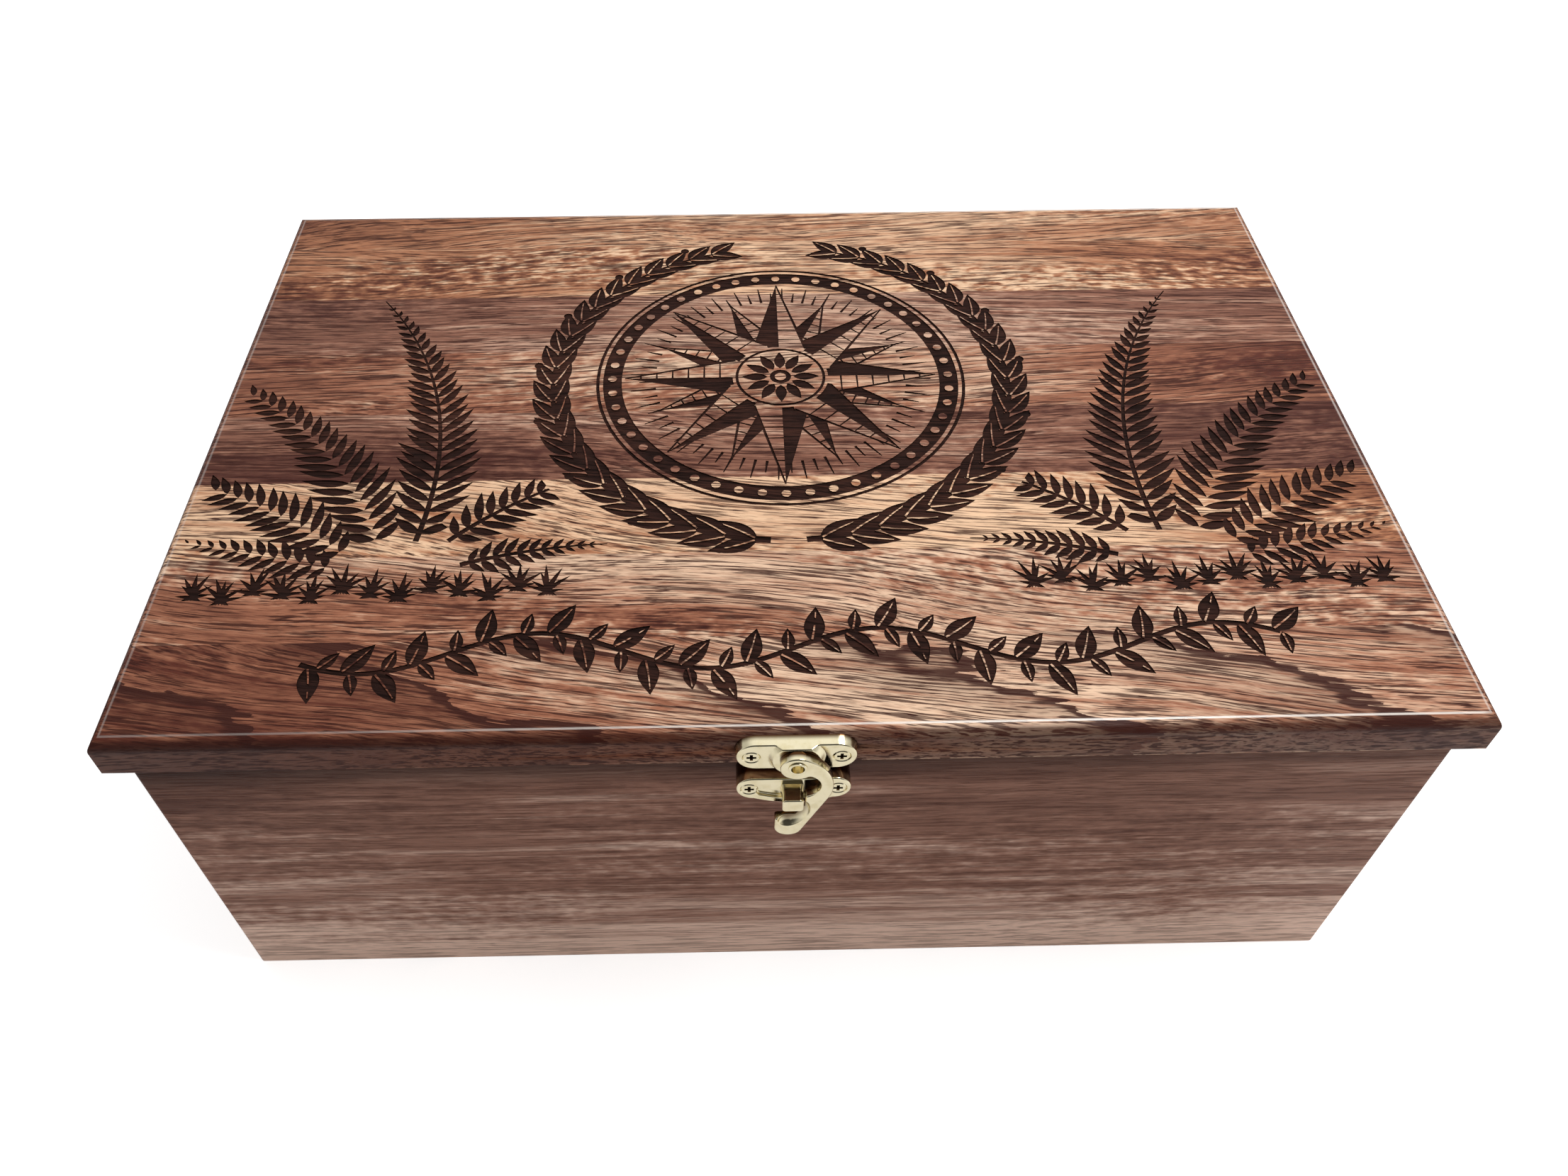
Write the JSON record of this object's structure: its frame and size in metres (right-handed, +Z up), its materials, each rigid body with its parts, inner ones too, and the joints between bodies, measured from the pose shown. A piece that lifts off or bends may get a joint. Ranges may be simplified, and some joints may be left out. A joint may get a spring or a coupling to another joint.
{
  "type": "keepsake box",
  "caption": "Wooden keepsake box with mitred walls, an overhanging hinged lid glued up from strips, and a brass swing-hook latch.",
  "frame": {"origin": "centre of the four walls' footprint, on the flat underside of the base", "axes": "+Z up, -Y towards the front with the latch, +X to the right as seen from the front"},
  "size_m": [0.307, 0.2143, 0.1125],
  "materials": {
    "lid_wood": "satin varnish over open-pored sapele-like boards",
    "body_wood": "satin varnish over dark straight-grained boards",
    "base_wood": "plain sanded panel",
    "latch_brass": "bright plated, polished",
    "hinge_brass": "plated, satin"
  },
  "bodies": {
    "box": {"front_wall": "body_wood", "back_wall": "body_wood", "left_wall": "body_wood", "right_wall": "body_wood", "bottom_panel": "base_wood", "keeper_plate": "latch_brass", "keeper_screws": "latch_brass", "box_hinge_leaf_left": "hinge_brass", "box_hinge_leaf_right": "hinge_brass", "hinge_pin_left": "hinge_brass", "hinge_pin_right": "hinge_brass", "box_hinge_screws": "hinge_brass"},
    "lid": {"lid_strip_1": "lid_wood", "lid_strip_2": "lid_wood", "lid_strip_3": "lid_wood", "lid_strip_4": "lid_wood", "lid_strip_5": "lid_wood", "lid_strip_6": "lid_wood", "lid_strip_7": "lid_wood", "lid_strip_8": "lid_wood", "latch_plate": "latch_brass", "latch_screws": "latch_brass", "latch_rivet": "latch_brass", "lid_hinge_leaf_left": "hinge_brass", "lid_hinge_leaf_right": "hinge_brass", "lid_hinge_screws": "hinge_brass"},
    "hook": {"latch_hook": "latch_brass"}
  },
  "joints": [
    {"name": "lid_hinge", "type": "hinge", "parent": "box", "child": "lid", "pos_m": [0, 0.09855, 0.102], "axis": [-1, 0, 0], "range_deg": [0, 100]},
    {"name": "latch_hook_swing", "type": "hinge", "parent": "lid", "child": "hook", "pos_m": [-0.0004, -0.11025, 0.1082], "axis": [0, -1, 0], "range_deg": [0, 290]}
  ]
}
